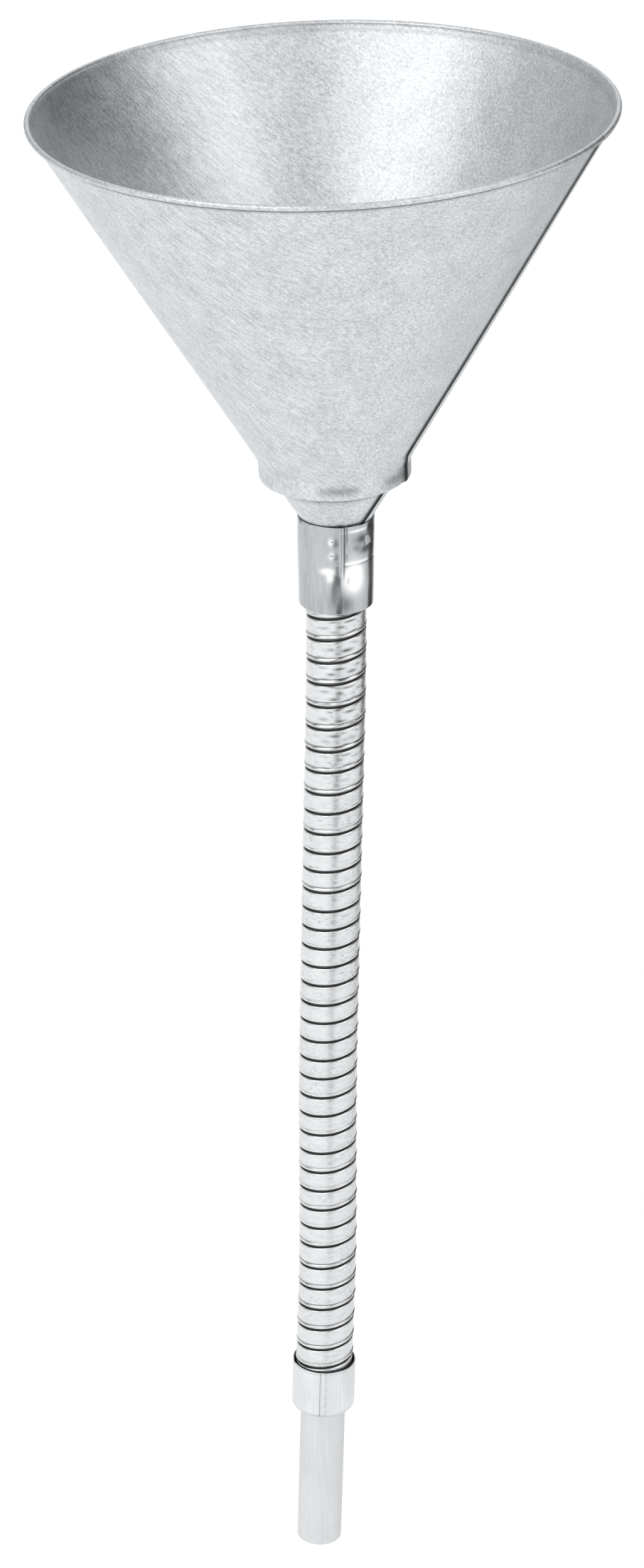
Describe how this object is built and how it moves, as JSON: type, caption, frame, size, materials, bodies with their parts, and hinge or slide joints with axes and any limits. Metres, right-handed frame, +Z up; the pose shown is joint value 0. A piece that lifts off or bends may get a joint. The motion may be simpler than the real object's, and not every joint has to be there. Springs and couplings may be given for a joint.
{
  "type": "funnel",
  "caption": "Sheet metal funnel: wide conical bowl with a rolled rim and strainer, a crimped collar, a long flexible interlocked hose and a plain outlet tube.",
  "frame": {"origin": "centre of the rim's top plane", "axes": "+Z up the bowl's axis, out of its mouth; the hose hangs towards -Z and leans slightly towards -X"},
  "size_m": [0.21, 0.21, 0.6043],
  "materials": {
    "galvanised_sheet": "fine mottled zinc, matt",
    "galvanised_wire": "zinc coated wire",
    "strainer_steel": "bright pressed steel",
    "gauze_steel": "woven steel wire",
    "tinplate": "bright tinplate with scuffs",
    "hose_strip": "satin zinc coated strip with bright rolled lips",
    "ferrule_sheet": "pale satin",
    "tube_metal": "very pale, matt"
  },
  "bodies": {
    "bowl": {"bowl": "galvanised_sheet", "rim_wire": "galvanised_wire", "strainer_hoop": "strainer_steel", "strainer_gauze": "gauze_steel", "throat": "galvanised_sheet", "collar": "tinplate", "hose_turn_00": "hose_strip"},
    "turn_01": {"hose_turn_01": "hose_strip"},
    "turn_02": {"hose_turn_02": "hose_strip"},
    "turn_03": {"hose_turn_03": "hose_strip"},
    "turn_04": {"hose_turn_04": "hose_strip"},
    "turn_05": {"hose_turn_05": "hose_strip"},
    "turn_06": {"hose_turn_06": "hose_strip"},
    "turn_07": {"hose_turn_07": "hose_strip"},
    "turn_08": {"hose_turn_08": "hose_strip"},
    "turn_09": {"hose_turn_09": "hose_strip"},
    "turn_10": {"hose_turn_10": "hose_strip"},
    "turn_11": {"hose_turn_11": "hose_strip"},
    "turn_12": {"hose_turn_12": "hose_strip"},
    "turn_13": {"hose_turn_13": "hose_strip"},
    "turn_14": {"hose_turn_14": "hose_strip"},
    "turn_15": {"hose_turn_15": "hose_strip"},
    "turn_16": {"hose_turn_16": "hose_strip"},
    "turn_17": {"hose_turn_17": "hose_strip"},
    "turn_18": {"hose_turn_18": "hose_strip"},
    "turn_19": {"hose_turn_19": "hose_strip"},
    "turn_20": {"hose_turn_20": "hose_strip"},
    "turn_21": {"hose_turn_21": "hose_strip"},
    "turn_22": {"hose_turn_22": "hose_strip"},
    "turn_23": {"hose_turn_23": "hose_strip"},
    "turn_24": {"hose_turn_24": "hose_strip"},
    "turn_25": {"hose_turn_25": "hose_strip"},
    "turn_26": {"hose_turn_26": "hose_strip"},
    "turn_27": {"hose_turn_27": "hose_strip"},
    "turn_28": {"hose_turn_28": "hose_strip"},
    "turn_29": {"hose_turn_29": "hose_strip"},
    "turn_30": {"hose_turn_30": "hose_strip"},
    "turn_31": {"hose_turn_31": "hose_strip"},
    "turn_32": {"hose_turn_32": "hose_strip"},
    "turn_33": {"hose_turn_33": "hose_strip"},
    "turn_34": {"hose_turn_34": "hose_strip"},
    "turn_35": {"hose_turn_35": "hose_strip"},
    "turn_36": {"hose_turn_36": "hose_strip"},
    "turn_37": {"hose_turn_37": "hose_strip"},
    "spout": {"hose_turn_38": "hose_strip", "ferrule": "ferrule_sheet", "outlet_tube": "tube_metal"}
  },
  "joints": [
    {"name": "hose_upper_side", "type": "hinge", "parent": "bowl", "child": "turn_01", "pos_m": [-0.00113, 0, -0.19488], "axis": [0, 1, 0], "range_deg": [-4.74, 4.74]},
    {"name": "hose_upper_front", "type": "hinge", "parent": "turn_01", "child": "turn_02", "pos_m": [-0.00137, 0, -0.20348], "axis": [0.9994, 0, -0.0334], "range_deg": [-4.74, 4.74]},
    {"name": "side_03", "type": "hinge", "parent": "turn_02", "child": "turn_03", "pos_m": [-0.00166, 0, -0.21208], "axis": [0, 1, 0], "range_deg": [-4.74, 4.74]},
    {"name": "front_04", "type": "hinge", "parent": "turn_03", "child": "turn_04", "pos_m": [-0.00199, 0, -0.22067], "axis": [0.999, 0, -0.0444], "range_deg": [-4.74, 4.74]},
    {"name": "side_05", "type": "hinge", "parent": "turn_04", "child": "turn_05", "pos_m": [-0.00237, 0, -0.22926], "axis": [0, 1, 0], "range_deg": [-4.74, 4.74]},
    {"name": "front_06", "type": "hinge", "parent": "turn_05", "child": "turn_06", "pos_m": [-0.0028, 0, -0.23785], "axis": [0.9986, 0, -0.0522], "range_deg": [-4.74, 4.74]},
    {"name": "side_07", "type": "hinge", "parent": "turn_06", "child": "turn_07", "pos_m": [-0.00325, 0, -0.24644], "axis": [0, 1, 0], "range_deg": [-4.74, 4.74]},
    {"name": "front_08", "type": "hinge", "parent": "turn_07", "child": "turn_08", "pos_m": [-0.0037, 0, -0.25503], "axis": [0.9987, 0, -0.0516], "range_deg": [-4.74, 4.74]},
    {"name": "side_09", "type": "hinge", "parent": "turn_08", "child": "turn_09", "pos_m": [-0.00414, 0, -0.26362], "axis": [0, 1, 0], "range_deg": [-4.74, 4.74]},
    {"name": "front_10", "type": "hinge", "parent": "turn_09", "child": "turn_10", "pos_m": [-0.00458, 0, -0.2722], "axis": [0.9987, 0, -0.0511], "range_deg": [-4.74, 4.74]},
    {"name": "side_11", "type": "hinge", "parent": "turn_10", "child": "turn_11", "pos_m": [-0.00502, 0, -0.28079], "axis": [0, 1, 0], "range_deg": [-4.74, 4.74]},
    {"name": "front_12", "type": "hinge", "parent": "turn_11", "child": "turn_12", "pos_m": [-0.00546, 0, -0.28938], "axis": [0.9987, 0, -0.0505], "range_deg": [-4.74, 4.74]},
    {"name": "side_13", "type": "hinge", "parent": "turn_12", "child": "turn_13", "pos_m": [-0.0059, 0, -0.29797], "axis": [0, 1, 0], "range_deg": [-4.74, 4.74]},
    {"name": "front_14", "type": "hinge", "parent": "turn_13", "child": "turn_14", "pos_m": [-0.00633, 0, -0.30656], "axis": [0.9987, 0, -0.05], "range_deg": [-4.74, 4.74]},
    {"name": "side_15", "type": "hinge", "parent": "turn_14", "child": "turn_15", "pos_m": [-0.00676, 0, -0.31515], "axis": [0, 1, 0], "range_deg": [-4.74, 4.74]},
    {"name": "front_16", "type": "hinge", "parent": "turn_15", "child": "turn_16", "pos_m": [-0.00719, 0, -0.32374], "axis": [0.9988, 0, -0.0494], "range_deg": [-4.74, 4.74]},
    {"name": "side_17", "type": "hinge", "parent": "turn_16", "child": "turn_17", "pos_m": [-0.00761, 0, -0.33233], "axis": [0, 1, 0], "range_deg": [-4.74, 4.74]},
    {"name": "front_18", "type": "hinge", "parent": "turn_17", "child": "turn_18", "pos_m": [-0.00803, 0, -0.34092], "axis": [0.9988, 0, -0.0489], "range_deg": [-4.74, 4.74]},
    {"name": "side_19", "type": "hinge", "parent": "turn_18", "child": "turn_19", "pos_m": [-0.00846, 0, -0.34951], "axis": [0, 1, 0], "range_deg": [-4.74, 4.74]},
    {"name": "front_20", "type": "hinge", "parent": "turn_19", "child": "turn_20", "pos_m": [-0.00887, 0, -0.3581], "axis": [0.9988, 0, -0.0483], "range_deg": [-4.74, 4.74]},
    {"name": "hose_lower_side", "type": "hinge", "parent": "turn_20", "child": "turn_21", "pos_m": [-0.00929, 0, -0.36669], "axis": [0, 1, 0], "range_deg": [-4.74, 4.74]},
    {"name": "hose_lower_front", "type": "hinge", "parent": "turn_21", "child": "turn_22", "pos_m": [-0.0097, 0, -0.37528], "axis": [0.999, 0, -0.0453], "range_deg": [-4.74, 4.74]},
    {"name": "side_23", "type": "hinge", "parent": "turn_22", "child": "turn_23", "pos_m": [-0.01009, 0, -0.38387], "axis": [0, 1, 0], "range_deg": [-4.74, 4.74]},
    {"name": "front_24", "type": "hinge", "parent": "turn_23", "child": "turn_24", "pos_m": [-0.01044, 0, -0.39246], "axis": [0.9993, 0, -0.0369], "range_deg": [-4.74, 4.74]},
    {"name": "side_25", "type": "hinge", "parent": "turn_24", "child": "turn_25", "pos_m": [-0.01076, 0, -0.40105], "axis": [0, 1, 0], "range_deg": [-4.74, 4.74]},
    {"name": "front_26", "type": "hinge", "parent": "turn_25", "child": "turn_26", "pos_m": [-0.01104, 0, -0.40965], "axis": [0.9996, 0, -0.0286], "range_deg": [-4.74, 4.74]},
    {"name": "side_27", "type": "hinge", "parent": "turn_26", "child": "turn_27", "pos_m": [-0.01129, 0, -0.41825], "axis": [0, 1, 0], "range_deg": [-4.74, 4.74]},
    {"name": "front_28", "type": "hinge", "parent": "turn_27", "child": "turn_28", "pos_m": [-0.01153, 0, -0.42684], "axis": [0.9996, 0, -0.029], "range_deg": [-4.74, 4.74]},
    {"name": "side_29", "type": "hinge", "parent": "turn_28", "child": "turn_29", "pos_m": [-0.01178, 0, -0.43544], "axis": [0, 1, 0], "range_deg": [-4.74, 4.74]},
    {"name": "front_30", "type": "hinge", "parent": "turn_29", "child": "turn_30", "pos_m": [-0.01204, 0, -0.44404], "axis": [0.9995, 0, -0.0302], "range_deg": [-4.74, 4.74]},
    {"name": "side_31", "type": "hinge", "parent": "turn_30", "child": "turn_31", "pos_m": [-0.0123, 0, -0.45263], "axis": [0, 1, 0], "range_deg": [-4.74, 4.74]},
    {"name": "front_32", "type": "hinge", "parent": "turn_31", "child": "turn_32", "pos_m": [-0.01259, 0, -0.46123], "axis": [0.9992, 0, -0.0407], "range_deg": [-4.74, 4.74]},
    {"name": "side_33", "type": "hinge", "parent": "turn_32", "child": "turn_33", "pos_m": [-0.01294, 0, -0.46982], "axis": [0, 1, 0], "range_deg": [-4.74, 4.74]},
    {"name": "front_34", "type": "hinge", "parent": "turn_33", "child": "turn_34", "pos_m": [-0.01335, 0, -0.47841], "axis": [0.9985, 0, -0.0551], "range_deg": [-4.74, 4.74]},
    {"name": "side_35", "type": "hinge", "parent": "turn_34", "child": "turn_35", "pos_m": [-0.01382, 0, -0.487], "axis": [0, 1, 0], "range_deg": [-4.74, 4.74]},
    {"name": "front_36", "type": "hinge", "parent": "turn_35", "child": "turn_36", "pos_m": [-0.01436, 0, -0.49558], "axis": [0.9978, 0, -0.0668], "range_deg": [-4.74, 4.74]},
    {"name": "side_37", "type": "hinge", "parent": "turn_36", "child": "turn_37", "pos_m": [-0.01493, 0, -0.50416], "axis": [0, 1, 0], "range_deg": [-4.74, 4.74]},
    {"name": "front_38", "type": "hinge", "parent": "turn_37", "child": "spout", "pos_m": [-0.01546, 0, -0.51275], "axis": [0.9984, 0, -0.0558], "range_deg": [-4.74, 4.74]}
  ],
  "couplings": [
    {"joint": "side_03", "follows": "hose_upper_side", "ratio": 1},
    {"joint": "front_04", "follows": "hose_upper_front", "ratio": 1},
    {"joint": "side_05", "follows": "hose_upper_side", "ratio": 1},
    {"joint": "front_06", "follows": "hose_upper_front", "ratio": 1},
    {"joint": "side_07", "follows": "hose_upper_side", "ratio": 1},
    {"joint": "front_08", "follows": "hose_upper_front", "ratio": 1},
    {"joint": "side_09", "follows": "hose_upper_side", "ratio": 1},
    {"joint": "front_10", "follows": "hose_upper_front", "ratio": 1},
    {"joint": "side_11", "follows": "hose_upper_side", "ratio": 1},
    {"joint": "front_12", "follows": "hose_upper_front", "ratio": 1},
    {"joint": "side_13", "follows": "hose_upper_side", "ratio": 1},
    {"joint": "front_14", "follows": "hose_upper_front", "ratio": 1},
    {"joint": "side_15", "follows": "hose_upper_side", "ratio": 1},
    {"joint": "front_16", "follows": "hose_upper_front", "ratio": 1},
    {"joint": "side_17", "follows": "hose_upper_side", "ratio": 1},
    {"joint": "front_18", "follows": "hose_upper_front", "ratio": 1},
    {"joint": "side_19", "follows": "hose_upper_side", "ratio": 1},
    {"joint": "front_20", "follows": "hose_upper_front", "ratio": 1},
    {"joint": "side_23", "follows": "hose_lower_side", "ratio": 1},
    {"joint": "front_24", "follows": "hose_lower_front", "ratio": 1},
    {"joint": "side_25", "follows": "hose_lower_side", "ratio": 1},
    {"joint": "front_26", "follows": "hose_lower_front", "ratio": 1},
    {"joint": "side_27", "follows": "hose_lower_side", "ratio": 1},
    {"joint": "front_28", "follows": "hose_lower_front", "ratio": 1},
    {"joint": "side_29", "follows": "hose_lower_side", "ratio": 1},
    {"joint": "front_30", "follows": "hose_lower_front", "ratio": 1},
    {"joint": "side_31", "follows": "hose_lower_side", "ratio": 1},
    {"joint": "front_32", "follows": "hose_lower_front", "ratio": 1},
    {"joint": "side_33", "follows": "hose_lower_side", "ratio": 1},
    {"joint": "front_34", "follows": "hose_lower_front", "ratio": 1},
    {"joint": "side_35", "follows": "hose_lower_side", "ratio": 1},
    {"joint": "front_36", "follows": "hose_lower_front", "ratio": 1},
    {"joint": "side_37", "follows": "hose_lower_side", "ratio": 1},
    {"joint": "front_38", "follows": "hose_lower_front", "ratio": 1}
  ]
}
